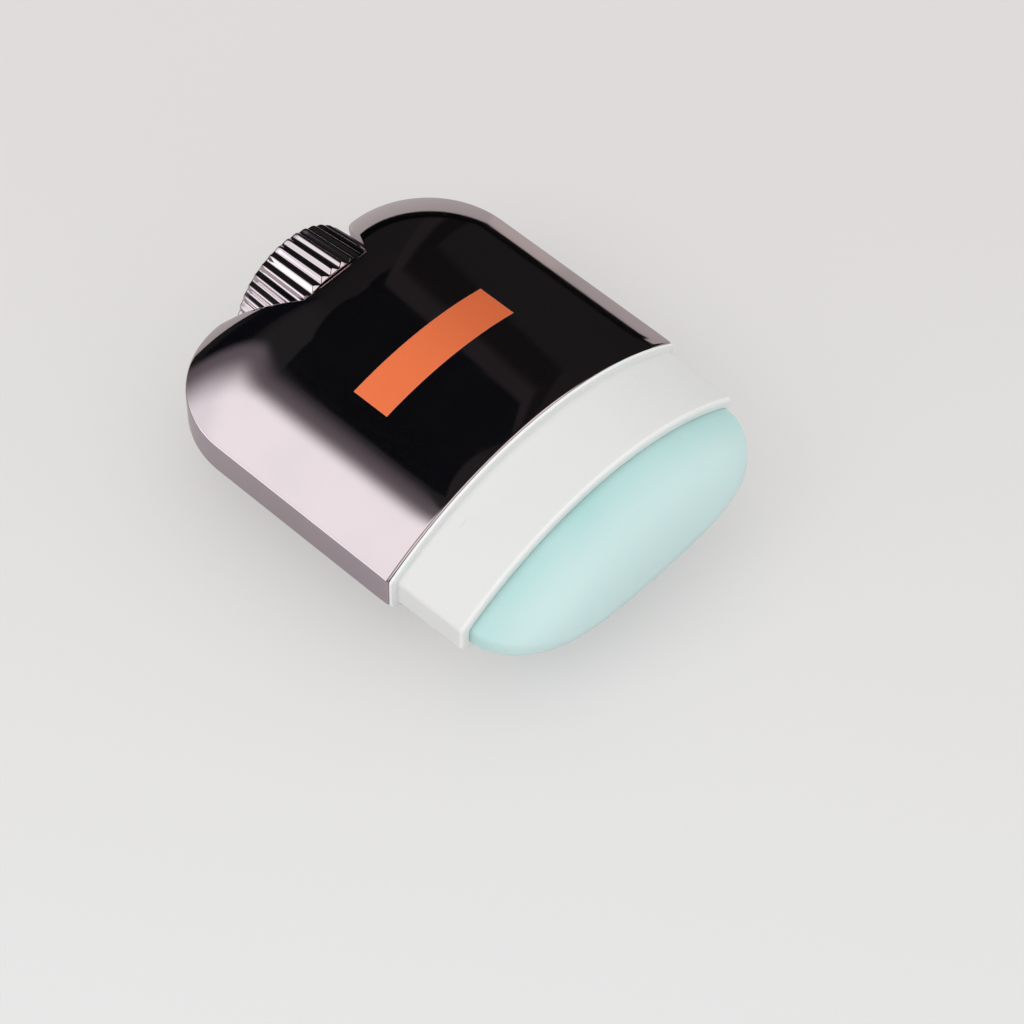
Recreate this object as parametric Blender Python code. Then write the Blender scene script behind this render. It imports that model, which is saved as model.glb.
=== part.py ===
"""Twist-up sunscreen stick, lying on its back with its cap off.

A plated pillow-shaped casing holds a white barrel whose collar stands out of the mouth. A fluted
knob, sunk in a round pocket at the arched end, turns a lead screw. The screw drives a carrier
that slides in the barrel and pushes the bar of sunscreen out.

X is the width, +Z the front face. The stick's axis runs along Y through the middle of its
thickness: every piece is modelled on that axis with y = 0 at the casing's mouth, the knob at +y
and the bar at -y, and hangs from one of three empties that stand for the bodies that move.
"""

from math import asin, atan2, ceil, cos, floor, hypot, pi, radians, sin, sqrt

import bmesh
import bpy
from mathutils import Matrix, Vector

MM = 0.001

# Casing: a lens section with flat side strips, whose crown is carried round the arched end
CASE_WIDTH = 50 * MM
CASE_LENGTH = 42 * MM
SIDE_STRIP = 4.8 * MM
CROWN_SAG = 8.2 * MM
CORNER_RADIUS = 13.3 * MM
CREST_FLAT = 7.0 * MM
END_FALL_SHARE = 0.6
CASE_WALL = 1.2 * MM
CASE_FILLET = 0.3 * MM

# Round pocket in the arched end, coaxial with the knob
POCKET_DEPTH = 8.75 * MM
POCKET_GAP = 1.0 * MM
POCKET_LIP = 1.0 * MM

# Fits
CLEARANCE = 0.3 * MM
RUNNING_GAP = 0.3 * MM
OVERRUN = 2 * MM

# Barrel, its collar, and the hub that carries the screw
COLLAR_LENGTH = 11 * MM
COLLAR_INSET = 1.0 * MM
COLLAR_DRAFT = 0.2 * MM
FLANGE_INSET = 0.15 * MM
FLANGE_THICKNESS = 0.4 * MM
RIM_FILLET = 0.25 * MM
BARREL_WALL = 0.8 * MM
BARREL_FLOOR = 1.2 * MM
BARREL_FILLET = 0.5 * MM
BORE_FILLET = 0.6 * MM
HUB_LENGTH = 3.65 * MM
HUB_WALL = 1.9 * MM
HUB_RIB_REACH = 11 * MM
HUB_RIB_DROP = 0.65 * MM
RIB_THICKNESS = 1.0 * MM
CAP_BEAD_WIDTH = 3.4 * MM
CAP_BEAD_THICKNESS = 1.0 * MM
CAP_BEAD_PROUD = 0.25 * MM
CAP_BEAD_OFFSET = 15 * MM
CAP_BEAD_FROM_MOUTH = 2.45 * MM

# Snaps that hold the barrel in the casing
SNAP_LENGTH = 4.0 * MM
SNAP_WIDTH = 2.0 * MM
SNAP_PROUD = 0.5 * MM
SNAP_FROM_MOUTH = 6.0 * MM

# Carrier
PLATFORM_THICKNESS = 1.2 * MM
TRAY_DEPTH = 3.0 * MM
TRAY_FILLET = 0.3 * MM
CARRIER_WALL = 0.9 * MM
SKIRT_LENGTH = 5.0 * MM
SKIRT_STEP = 1.0 * MM
BOSS_LENGTH = 7.9 * MM
BOSS_WALL = 1.3 * MM
NUT_LENGTH = 7.0 * MM
FIN_LENGTH = 7.0 * MM
FIN_THICKNESS = 1.2 * MM
FIN_HEIGHT = 5.0 * MM
FIN_OFFSET = 12 * MM

# Bar of sunscreen
BAR_SHOULDER = 1.15 * MM
DOME_HEIGHT = 8.6 * MM
BAR_FILLET = 0.8 * MM
DOME_POWER_SHARES = {"x": (1.54, 1 / 4.15), "z": (1.71, 1 / 1.8)}

# Lead screw, with a left-hand thread so that a clockwise turn raises the bar
LEAD = 4 * MM
SCREW_CREST = 3.4 * MM
SCREW_ROOT = 2.4 * MM
CREST_WIDTH = 0.9 * MM
FLANK_WIDTH = 0.5 * MM
THREAD_RUNOUT = 0.5 * MM
THREAD_GRIP = 5.0 * MM
THRUST_FLANGE_WIDTH = 1.6 * MM
THRUST_FLANGE_THICKNESS = 1.3 * MM
SEAL_NECK_RADIUS = 4.0 * MM
BEARING_NECK_RADIUS = 2.9 * MM
SPLINE_STEP = 0.2 * MM
SPLINE_DEPTH = 0.6 * MM
SPLINES = 6
SHANK_EMBED = 1.0 * MM

# Spindle seal and clip
SEAL_CORD = 1.2 * MM
CLIP_THICKNESS = 0.6 * MM
CLIP_WIDTH = 2.1 * MM
CLIP_GROOVE_DEPTH = 0.4 * MM
CLIP_MOUTH = 3.4 * MM

# Bush and thrust washer between casing and knob
BUSH_WALL = 0.8 * MM
BUSH_FLANGE_WIDTH = 1.6 * MM
BUSH_FLANGE_THICKNESS = 0.8 * MM
WASHER_THICKNESS = 0.4 * MM
WASHER_STEP = 0.4 * MM

# Knob: a fluted plated shell over a moulded core
KNOB_RADIUS = 10.1 * MM
KNOB_DRAFT = 0.7 * MM
KNOB_END_INSET = 0.25 * MM
KNOB_FILLET = 0.7 * MM
KNOB_END_WALL = 1.1 * MM
KNOB_WALL = 0.9 * MM
FLUTES = 38
FLUTE_DEPTH = 0.55 * MM
FLUTE_CHAMFER = 0.7 * MM
CORE_HUB_WALL = 1.5 * MM
CORE_SOCKET_FLOOR = 0.5 * MM
CORE_WEB = 1.6 * MM
CORE_RIBS = 6
CORE_BAND = 1.0 * MM
CORE_BAND_LENGTH = 3.0 * MM

# Facets
CROWN_STEPS = 8
FILLET_STEPS = 2
CORNER_STEPS = 10
DOME_STEPS = 8
EDGE_STEPS = 4
ROUND_SIDES = 40
SMALL_SIDES = 24
BEAD_SIDES = 12
SMOOTH_ANGLE = radians(32)
MERGE = 0.001 * MM
# Quarter of a facet between the thread's corners and the nut's end faces, so that none meet
THREAD_PHASE_SHARE = 0.25
# Height of one flute at even steps round it, as shares of its depth
FLUTE_SHARES = (0, 0.45, 0.9, 1, 0.9, 0.45)

# Travel from the stored position
RISE = 19 * MM
SINK = 2 * MM

# Worked out from the sizes above
HALF_WIDTH = CASE_WIDTH / 2
HALF_THICKNESS = SIDE_STRIP / 2 + CROWN_SAG
CROWN_RADIUS = (HALF_WIDTH**2 + CROWN_SAG**2) / (2 * CROWN_SAG)
CROWN_CENTRE = HALF_THICKNESS - CROWN_RADIUS
CREST_EDGE = pi / 2 - asin(CREST_FLAT / 2 / CROWN_RADIUS)

BARREL_INSET = CASE_WALL + CLEARANCE
BORE_INSET = BARREL_INSET + BARREL_WALL
SLIDE_INSET = BORE_INSET + RUNNING_GAP
TRAY_INSET = SLIDE_INSET + CARRIER_WALL
BAR_FOOT_INSET = TRAY_INSET + CLEARANCE

TIP_REACH = COLLAR_LENGTH + BAR_SHOULDER + DOME_HEIGHT
MOUTH_Y = (TIP_REACH - CASE_LENGTH) / 2

POCKET_FLOOR = CASE_LENGTH - POCKET_DEPTH
POCKET_RADIUS = KNOB_RADIUS + POCKET_GAP
CASE_FLOOR_INSIDE = POCKET_FLOOR - CASE_WALL

# From the casing's floor toward the mouth: clip, hub, barrel floor, screw flange and nut
CLIP_END = CASE_FLOOR_INSIDE - CLEARANCE
CLIP_START = CLIP_END - CLIP_THICKNESS
HUB_END = CLIP_START - CLEARANCE
BARREL_DEPTH = HUB_END - HUB_LENGTH
BARREL_FLOOR_INSIDE = BARREL_DEPTH - BARREL_FLOOR
THRUST_FLANGE_END = BARREL_FLOOR_INSIDE - CLEARANCE
THRUST_FLANGE_START = THRUST_FLANGE_END - THRUST_FLANGE_THICKNESS
THREAD_END = THRUST_FLANGE_START - CLEARANCE
BOSS_END = THREAD_END - SINK
NUT_START = BOSS_END - NUT_LENGTH
PLATFORM_END = BOSS_END - BOSS_LENGTH
PLATFORM_START = PLATFORM_END - PLATFORM_THICKNESS
TRAY_START = PLATFORM_START - TRAY_DEPTH
SKIRT_END = PLATFORM_END + SKIRT_LENGTH
SCREW_TIP = BOSS_END - RISE - THREAD_GRIP
BAR_BORE_END = SCREW_TIP - SINK - CLEARANCE

# Round the screw
HUB_BORE = SEAL_NECK_RADIUS + RUNNING_GAP
HUB_RADIUS = HUB_BORE + HUB_WALL
THRUST_FLANGE_RADIUS = SEAL_NECK_RADIUS + THRUST_FLANGE_WIDTH
SCREW_PASSAGE = SCREW_CREST + 2 * RUNNING_GAP
BOSS_RADIUS = SCREW_CREST + RUNNING_GAP + BOSS_WALL
SEAL_START = BARREL_DEPTH + CLEARANCE
SEAL_END = SEAL_START + SEAL_CORD + 2 * CLEARANCE
SEAL_RING_RADIUS = HUB_BORE - RUNNING_GAP - SEAL_CORD / 2
SEAL_GROOVE_RADIUS = SEAL_RING_RADIUS - SEAL_CORD / 2 - CLEARANCE
CLIP_GROOVE_RADIUS = BEARING_NECK_RADIUS - CLIP_GROOVE_DEPTH
CLIP_BORE = CLIP_GROOVE_RADIUS + CLEARANCE
SPLINE_RADIUS = BEARING_NECK_RADIUS - SPLINE_STEP

# From the pocket's floor outward: bush, washer, knob core and knob shell
BUSH_BORE = BEARING_NECK_RADIUS + RUNNING_GAP
BUSH_RADIUS = BUSH_BORE + BUSH_WALL
BUSH_HOLE = BUSH_RADIUS + CLEARANCE
BUSH_FLANGE_RADIUS = BUSH_RADIUS + BUSH_FLANGE_WIDTH
BUSH_FLANGE_START = POCKET_FLOOR + CLEARANCE
BUSH_FLANGE_END = BUSH_FLANGE_START + BUSH_FLANGE_THICKNESS
WASHER_START = BUSH_FLANGE_END + CLEARANCE
WASHER_END = WASHER_START + WASHER_THICKNESS
WASHER_RADIUS = BUSH_FLANGE_RADIUS - WASHER_STEP
KNOB_START = POCKET_FLOOR + CLEARANCE
KNOB_END = CASE_LENGTH - KNOB_END_INSET
KNOB_END_RADIUS = KNOB_RADIUS - KNOB_DRAFT
KNOB_HOLLOW_END = KNOB_END - KNOB_END_WALL
KNOB_HOLLOW_RADIUS = KNOB_END_RADIUS - FLUTE_DEPTH - KNOB_WALL
CORE_START = WASHER_END + CLEARANCE
CORE_END = KNOB_HOLLOW_END - CLEARANCE
CORE_RADIUS = KNOB_HOLLOW_RADIUS - CLEARANCE
SOCKET_END = CORE_END - CORE_SOCKET_FLOOR
SPLINE_END = SOCKET_END - CLEARANCE
SPLINE_SOCKET = SPLINE_RADIUS + CLEARANCE
CORE_HUB_RADIUS = SPLINE_SOCKET + CORE_HUB_WALL


def clear_scene():
    for thing in list(bpy.data.objects):
        bpy.data.objects.remove(thing)


def finish(name, colour, roughness, metallic=0.0):
    """A Principled material in the piece's own colour."""
    material = bpy.data.materials.new(name)
    material.use_nodes = True
    shader = material.node_tree.nodes["Principled BSDF"]
    shader.inputs["Base Color"].default_value = (*colour, 1)
    shader.inputs["Roughness"].default_value = roughness
    shader.inputs["Metallic"].default_value = metallic
    material.diffuse_color = (*colour, 1)
    return material


def body_empty(name):
    """An empty on the stick's axis at the mouth: it carries the pieces of one moving body.

    It stands as high as the level flat along the casing's back, on which the stick lies.
    """
    rest_height = quarter_section(0, CASE_FILLET)[-1][1]
    empty = bpy.data.objects.new(name, None)
    empty.location = (0, MOUTH_Y, rest_height)
    empty.empty_display_size = SIDE_STRIP
    bpy.context.scene.collection.objects.link(empty)
    return empty


def mesh_object(name, bm, parent):
    bmesh.ops.remove_doubles(bm, verts=bm.verts, dist=MERGE)
    bmesh.ops.recalc_face_normals(bm, faces=bm.faces)
    mesh = bpy.data.meshes.new(name)
    bm.to_mesh(mesh)
    bm.free()
    made = bpy.data.objects.new(name, mesh)
    made.parent = parent
    bpy.context.scene.collection.objects.link(made)
    return made


def piece(name, bm, parent, material):
    """A visible piece, smooth over its round faces and sharp at its edges."""
    made = mesh_object(name, bm, parent)
    made.data.shade_smooth()
    made.data.set_sharp_from_angle(angle=SMOOTH_ANGLE)
    made.data.materials.append(material)
    return made


def helper(name, bm, parent):
    """A shape that only cuts or joins: it stays out of the model."""
    made = mesh_object(name, bm, parent)
    made.hide_render = True
    made.display_type = "WIRE"
    return made


def combine(target, other, operation):
    modifier = target.modifiers.new(other.name, "BOOLEAN")
    modifier.operation = operation
    modifier.object = other


def cut(target, *others):
    for other in others:
        combine(target, other, "DIFFERENCE")


def join(target, *others):
    for other in others:
        combine(target, other, "UNION")


def quarter_section(inset, fillet):
    """Points (x, z) of a quarter of the lens section drawn in by inset, from side strip to crest.

    The fillet is the circle that touches the crown's circle from inside and, while there is a
    strip left, the side strip. The last point is the edge of the level flat along the crest, on
    which the stick lies.
    """
    radius = CROWN_RADIUS - inset
    centre_x = min(HALF_WIDTH - inset - fillet, sqrt((radius - fillet) ** 2 - CROWN_CENTRE**2))
    centre_z = CROWN_CENTRE + sqrt((radius - fillet) ** 2 - centre_x**2)
    joint = atan2(centre_z - CROWN_CENTRE, centre_x)
    points = []
    for step in range(FILLET_STEPS):
        angle = joint * step / FILLET_STEPS
        points.append((centre_x + fillet * cos(angle), centre_z + fillet * sin(angle)))
    for step in range(CROWN_STEPS + 1):
        angle = joint + (CREST_EDGE - joint) * step / CROWN_STEPS
        points.append((radius * cos(angle), CROWN_CENTRE + radius * sin(angle)))
    return points


def lens_outline(inset, fillet):
    """The whole lens section as one loop of (x, z) points, front half first."""
    quarter = quarter_section(inset, fillet)
    front = quarter + [(-x, z) for x, z in reversed(quarter)]
    return front + [(x, -z) for x, z in reversed(front)]


def loft(rings):
    """A skin through loops that have the same number of points, with its two ends closed."""
    bm = bmesh.new()
    loops = [[bm.verts.new(point) for point in ring] for ring in rings]
    for one, two in zip(loops, loops[1:]):
        for index in range(len(one)):
            after = (index + 1) % len(one)
            bm.faces.new((one[index], one[after], two[after], two[index]))
    bm.faces.new(loops[0])
    bm.faces.new(loops[-1])
    return bm


def lens_ring(y, inset, fillet):
    return [(x, y, z) for x, z in lens_outline(inset, fillet)]


def lens_loft(stations):
    """A loft through lens sections given as (y, inset, fillet)."""
    return loft([lens_ring(*station) for station in stations])


def turned(profile, sides):
    """A profile of (y, radius) points turned once round the stick's axis.

    A profile that starts and ends on the axis makes a plain turned piece; any other is closed
    into a loop, which makes a ring or a bush.
    """
    bm = bmesh.new()
    points = [bm.verts.new((radius, y, 0)) for y, radius in profile]
    edges = [bm.edges.new(pair) for pair in zip(points, points[1:])]
    if profile[0][1] > 0:
        edges.append(bm.edges.new((points[-1], points[0])))
    bmesh.ops.spin(
        bm,
        geom=points + edges,
        cent=(0, 0, 0),
        axis=(0, 1, 0),
        angle=2 * pi,
        steps=sides,
        use_duplicate=False,
    )
    return bm


def rod(start, end, radius, sides=ROUND_SIDES):
    return turned([(start, 0), (start, radius), (end, radius), (end, 0)], sides)


def tube(start, end, inner, outer, sides=ROUND_SIDES):
    return turned([(start, inner), (start, outer), (end, outer), (end, inner)], sides)


def block(low, high):
    """A box between two corners."""
    bm = bmesh.new()
    bmesh.ops.create_cube(bm, size=1)
    size = Vector(high) - Vector(low)
    middle = (Vector(high) + Vector(low)) / 2
    bm.transform(Matrix.Translation(middle) @ Matrix.Diagonal((*size, 1)))
    return bm


def pillow(inset, fillet, mouth):
    """The casing's form drawn in by inset: the lens section carried round the arched end.

    Every point of the section's quarter gives one level ring. A ring runs up one side, round the
    end on two corner arcs and back down the other side. Its corners tighten with its width, and
    its end draws back by END_FALL_SHARE of what its sides draw in, so the crown falls steeper
    toward the arched end. The first and last rings bound the level flats along the crests.
    """
    half_width = HALF_WIDTH - inset
    corner = CORNER_RADIUS - inset
    rings = []
    for width, height in quarter_section(inset, fillet):
        end = CASE_LENGTH - inset - END_FALL_SHARE * (half_width - width)
        radius = corner * width / half_width
        left = []
        for step in range(CORNER_STEPS + 1):
            angle = pi / 2 * step / CORNER_STEPS
            left.append((radius - width - radius * cos(angle), end - radius + radius * sin(angle)))
        outline = [(-width, mouth)] + left
        outline += [(-x, y) for x, y in reversed(outline)]
        rings.append([(x, y, height) for x, y in outline])
    levels = [[(x, y, -z) for x, y, z in ring] for ring in reversed(rings)] + rings
    bm = bmesh.new()
    grid = [[bm.verts.new(point) for point in level] for level in levels]
    for lower, upper in zip(grid, grid[1:]):
        for index in range(len(lower) - 1):
            bm.faces.new((lower[index], lower[index + 1], upper[index + 1], upper[index]))
    bm.faces.new([level[0] for level in grid] + [level[-1] for level in reversed(grid)])
    bm.faces.new(grid[0])
    bm.faces.new(grid[-1])
    return bm


def snap_block(side, grow):
    """The snap's block on one side strip, grown by a clearance where it is the casing's recess."""
    root = HALF_WIDTH - BARREL_INSET - BARREL_WALL / 2
    tip = HALF_WIDTH - BARREL_INSET + SNAP_PROUD + grow
    low, high = sorted((side * root, side * tip))
    return block(
        (low, SNAP_FROM_MOUTH - SNAP_LENGTH / 2 - grow, -SNAP_WIDTH / 2 - grow),
        (high, SNAP_FROM_MOUTH + SNAP_LENGTH / 2 + grow, SNAP_WIDTH / 2 + grow),
    )


def make_outer_case(parent, material):
    """Plated shell: the pillow, its cavity, the knob's pocket and the hole for the bush."""
    cavity = helper("case_cavity_cutter", pillow(CASE_WALL, CASE_FILLET, -OVERRUN), parent)
    pocket_wall = rod(CASE_FLOOR_INSIDE, CASE_LENGTH + OVERRUN, POCKET_RADIUS + CASE_WALL)
    cut(cavity, helper("pocket_wall_keeper", pocket_wall, parent))

    lip = []
    for step in range(EDGE_STEPS + 1):
        angle = pi / 2 * step / EDGE_STEPS
        lip.append(
            (
                CASE_LENGTH - POCKET_LIP + POCKET_LIP * sin(angle),
                POCKET_RADIUS + POCKET_LIP - POCKET_LIP * cos(angle),
            )
        )
    profile = [(POCKET_FLOOR, 0), (POCKET_FLOOR, POCKET_RADIUS)] + lip
    profile += [
        (CASE_LENGTH + OVERRUN, POCKET_RADIUS + POCKET_LIP),
        (CASE_LENGTH + OVERRUN, 0),
    ]
    pocket = helper("pocket_cutter", turned(profile, ROUND_SIDES), parent)
    hole = rod(CASE_FLOOR_INSIDE - OVERRUN, POCKET_FLOOR + OVERRUN, BUSH_HOLE, SMALL_SIDES)

    case = piece("outer_case", pillow(0, CASE_FILLET, 0), parent, material)
    cut(case, cavity, pocket, helper("bush_hole_cutter", hole, parent))
    for side in (-1, 1):
        cut(case, helper(f"snap_recess_cutter_{side}", snap_block(side, CLEARANCE), parent))


def cap_bead(parent, side, face):
    """A low bead on the collar's crown, which the cap clicks over."""
    radius = CROWN_RADIUS - COLLAR_INSET
    lean = atan2(CAP_BEAD_OFFSET, sqrt(radius**2 - CAP_BEAD_OFFSET**2))
    sink = radius + CAP_BEAD_PROUD - CAP_BEAD_THICKNESS / 2
    centre = Vector((sink * sin(lean), -CAP_BEAD_FROM_MOUTH, CROWN_CENTRE + sink * cos(lean)))
    bm = bmesh.new()
    bmesh.ops.create_uvsphere(bm, u_segments=BEAD_SIDES, v_segments=BEAD_SIDES // 2, radius=1)
    shape = Matrix.Diagonal(
        (CAP_BEAD_WIDTH / 2, CAP_BEAD_THICKNESS / 2, CAP_BEAD_THICKNESS / 2, 1)
    )
    bm.transform(
        Matrix.Diagonal((side, 1, face, 1))
        @ Matrix.Translation(centre)
        @ Matrix.Rotation(lean, 4, "Y")
        @ shape
    )
    return helper(f"cap_bead_{side}_{face}", bm, parent)


def make_inner_barrel(parent, material):
    """White barrel: collar and flange outside the mouth, lens bore, floor with a ribbed hub."""
    flange_end = -CLEARANCE - FLANGE_THICKNESS
    rim_inset = COLLAR_INSET + COLLAR_DRAFT
    shell = lens_loft(
        [
            (BARREL_DEPTH, BARREL_INSET, BARREL_FILLET),
            (-CLEARANCE, BARREL_INSET, BARREL_FILLET),
            (-CLEARANCE, FLANGE_INSET, BARREL_FILLET),
            (flange_end, FLANGE_INSET, BARREL_FILLET),
            (flange_end, COLLAR_INSET, BARREL_FILLET),
            (RIM_FILLET - COLLAR_LENGTH, rim_inset, BARREL_FILLET),
            (-COLLAR_LENGTH, rim_inset + RIM_FILLET, BARREL_FILLET),
            (-COLLAR_LENGTH, BORE_INSET, BORE_FILLET),
            (BARREL_FLOOR_INSIDE, BORE_INSET, BORE_FILLET),
        ]
    )
    barrel = piece("inner_barrel", shell, parent, material)
    for side in (-1, 1):
        join(barrel, helper(f"snap_{side}", snap_block(side, 0), parent))
        for face in (-1, 1):
            join(barrel, cap_bead(parent, side, face))

    hub_root = BARREL_DEPTH - BARREL_FLOOR / 2
    join(barrel, helper("hub", rod(hub_root, HUB_END, HUB_RADIUS), parent))
    rib = block(
        (-HUB_RIB_REACH, hub_root, -RIB_THICKNESS / 2),
        (HUB_RIB_REACH, HUB_END - HUB_RIB_DROP, RIB_THICKNESS / 2),
    )
    join(barrel, helper("hub_rib", rib, parent))
    bore = rod(BARREL_FLOOR_INSIDE - OVERRUN, HUB_END + OVERRUN, HUB_BORE)
    cut(barrel, helper("hub_bore_cutter", bore, parent))


def thread(start, stop, end, play):
    """A rod with a coarse left-hand thread up to stop, plain from there to its end, as one skin.

    Each column of points stands at one angle. Its rows follow the thread's corners, moved along
    by the lead for every turn, so the ridge keeps clean edges. Rows past start or stop gather
    there, at the root, where the ridge has run out. Turns are counted from the nut's end, so
    the screw and the nut's tap, which play makes wider, are in step.
    """
    root = SCREW_ROOT + play
    crest = SCREW_CREST + play
    half_crest = CREST_WIDTH / 2 + play
    half_foot = half_crest + FLANK_WIDTH
    corners = (
        (-half_foot, root),
        (-half_crest, crest),
        (half_crest, crest),
        (half_foot, root),
        (LEAD / 2, root),
    )
    first = floor((start - BOSS_END) / LEAD) - 2
    last = ceil((stop - BOSS_END) / LEAD) + 2
    bm = bmesh.new()
    columns = []
    for side in range(SMALL_SIDES + 1):
        angle = 2 * pi * side / SMALL_SIDES
        column = [bm.verts.new((0, start, 0))]
        for turn in range(first, last):
            for along, height in corners:
                y = BOSS_END + along + LEAD * (turn + (side + THREAD_PHASE_SHARE) / SMALL_SIDES)
                y = min(max(y, start), stop)
                fade = min(1, (y - start) / THREAD_RUNOUT, (stop - y) / THREAD_RUNOUT)
                radius = root + (height - root) * fade
                column.append(bm.verts.new((radius * cos(angle), y, radius * sin(angle))))
        column.append(bm.verts.new((root * cos(angle), end, root * sin(angle))))
        column.append(bm.verts.new((0, end, 0)))
        columns.append(column)
    for one, two in zip(columns, columns[1:]):
        for row in range(len(one) - 1):
            bm.faces.new((one[row], one[row + 1], two[row + 1], two[row]))
    bmesh.ops.remove_doubles(bm, verts=bm.verts, dist=MERGE)
    bmesh.ops.dissolve_degenerate(bm, edges=bm.edges, dist=MERGE)
    return bm


def fin_block(side, root, grow):
    """An anchor fin of the carrier, grown by a clearance where it is the bar's slot."""
    reach = FIN_LENGTH / 2 + grow
    return block(
        (side * FIN_OFFSET - reach, PLATFORM_START - FIN_HEIGHT - grow, -FIN_THICKNESS / 2 - grow),
        (side * FIN_OFFSET + reach, root, FIN_THICKNESS / 2 + grow),
    )


def make_carrier(parent, material):
    """Platform with a tray for the bar's foot, a guide skirt and a boss with the nut thread."""
    shell = lens_loft(
        [
            (PLATFORM_START, TRAY_INSET, TRAY_FILLET),
            (TRAY_START, TRAY_INSET, TRAY_FILLET),
            (TRAY_START, SLIDE_INSET, BAR_FILLET),
            (SKIRT_END, SLIDE_INSET, BAR_FILLET),
            (SKIRT_END, TRAY_INSET, TRAY_FILLET),
            (PLATFORM_END, TRAY_INSET, TRAY_FILLET),
        ]
    )
    carrier = piece("carrier", shell, parent, material)
    root = PLATFORM_END - PLATFORM_THICKNESS / 2
    join(carrier, helper("boss", rod(root, BOSS_END, BOSS_RADIUS), parent))

    web_root = BOSS_RADIUS - BOSS_WALL / 2
    web_tip = CARRIER_WALL / 2 - TRAY_INSET
    web_end = SKIRT_END - SKIRT_STEP
    for side in (-1, 1):
        low, high = sorted((side * web_root, side * (HALF_WIDTH + web_tip)))
        web = block((low, root, -RIB_THICKNESS / 2), (high, web_end, RIB_THICKNESS / 2))
        join(carrier, helper(f"side_web_{side}", web, parent))
        low, high = sorted((side * web_root, side * (HALF_THICKNESS + web_tip)))
        web = block((-RIB_THICKNESS / 2, root, low), (RIB_THICKNESS / 2, web_end, high))
        join(carrier, helper(f"face_web_{side}", web, parent))
        join(carrier, helper(f"anchor_fin_{side}", fin_block(side, root, 0), parent))

    passage = rod(PLATFORM_START - OVERRUN, NUT_START, SCREW_PASSAGE, SMALL_SIDES)
    tap = thread(NUT_START - OVERRUN, BOSS_END + OVERRUN, BOSS_END + OVERRUN, RUNNING_GAP)
    cut(carrier, helper("passage_cutter", passage, parent), helper("nut_tap", tap, parent))


def dome_ring(rise):
    """A ring of the bar's end at a share of the dome's height.

    Width and thickness shrink by their own powers, and the lens section turns into an ellipse on
    the way up, so the strip corners melt into the dome.
    """
    x_power, x_root = DOME_POWER_SHARES["x"]
    z_power, z_root = DOME_POWER_SHARES["z"]
    x_scale = (1 - rise**x_power) ** x_root
    z_scale = (1 - rise**z_power) ** z_root
    melt = rise**2 * (3 - 2 * rise)
    half_width = HALF_WIDTH - SLIDE_INSET
    half_height = HALF_THICKNESS - SLIDE_INSET
    y = -(COLLAR_LENGTH + BAR_SHOULDER + DOME_HEIGHT * rise)
    ring = []
    for x, z in lens_outline(SLIDE_INSET, BAR_FILLET):
        reach = hypot(x / half_width, z / half_height)
        ring.append(
            (
                x_scale * x * (1 - melt + melt / reach),
                y,
                z_scale * z * (1 - melt + melt / reach),
            )
        )
    return ring


def make_sunscreen_bar(parent, material):
    """Moulded bar: a foot in the carrier's tray, a lens-shaped body and a domed end."""
    rings = [
        lens_ring(PLATFORM_START - CLEARANCE, BAR_FOOT_INSET, TRAY_FILLET),
        lens_ring(TRAY_START - CLEARANCE, BAR_FOOT_INSET, TRAY_FILLET),
        lens_ring(TRAY_START - CLEARANCE, SLIDE_INSET, BAR_FILLET),
    ]
    rings += [dome_ring(sin(pi / 2 * step / DOME_STEPS)) for step in range(DOME_STEPS + 1)]
    bar = piece("sunscreen_bar", loft(rings), parent, material)
    bore = rod(BAR_BORE_END, PLATFORM_START + OVERRUN, SCREW_PASSAGE, SMALL_SIDES)
    cut(bar, helper("bar_bore_cutter", bore, parent))
    for side in (-1, 1):
        slot = fin_block(side, PLATFORM_START + OVERRUN, CLEARANCE)
        cut(bar, helper(f"fin_slot_cutter_{side}", slot, parent))


def spline_ring(y, tip):
    """A loop with SPLINES flat-topped teeth: two points on each tooth and two in each gap."""
    ring = []
    for index in range(4 * SPLINES):
        radius = tip if index % 4 < 2 else tip - SPLINE_DEPTH
        angle = 2 * pi * index / (4 * SPLINES)
        ring.append((radius * cos(angle), y, radius * sin(angle)))
    return ring


def make_lead_screw(parent, material):
    """Threaded spindle with a thrust flange, a sealed neck, a bearing neck and a splined end."""
    threaded = thread(SCREW_TIP, THREAD_END, THREAD_END + SHANK_EMBED, 0)
    screw = piece("lead_screw", threaded, parent, material)
    shank = turned(
        [
            (THREAD_END, 0),
            (THREAD_END, SCREW_ROOT - CLEARANCE),
            (THRUST_FLANGE_START, SCREW_ROOT - CLEARANCE),
            (THRUST_FLANGE_START, THRUST_FLANGE_RADIUS),
            (THRUST_FLANGE_END, THRUST_FLANGE_RADIUS),
            (THRUST_FLANGE_END, SEAL_NECK_RADIUS),
            (SEAL_START, SEAL_NECK_RADIUS),
            (SEAL_START, SEAL_GROOVE_RADIUS),
            (SEAL_END, SEAL_GROOVE_RADIUS),
            (SEAL_END, SEAL_NECK_RADIUS),
            (HUB_END, SEAL_NECK_RADIUS),
            (HUB_END, CLIP_GROOVE_RADIUS),
            (CLIP_END + CLEARANCE, CLIP_GROOVE_RADIUS),
            (CLIP_END + CLEARANCE, BEARING_NECK_RADIUS),
            (WASHER_END, BEARING_NECK_RADIUS),
            (WASHER_END, 0),
        ],
        SMALL_SIDES,
    )
    spline = loft([spline_ring(y, SPLINE_RADIUS) for y in (WASHER_END - SHANK_EMBED, SPLINE_END)])
    join(screw, helper("shank", shank, parent), helper("spline", spline, parent))


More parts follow.
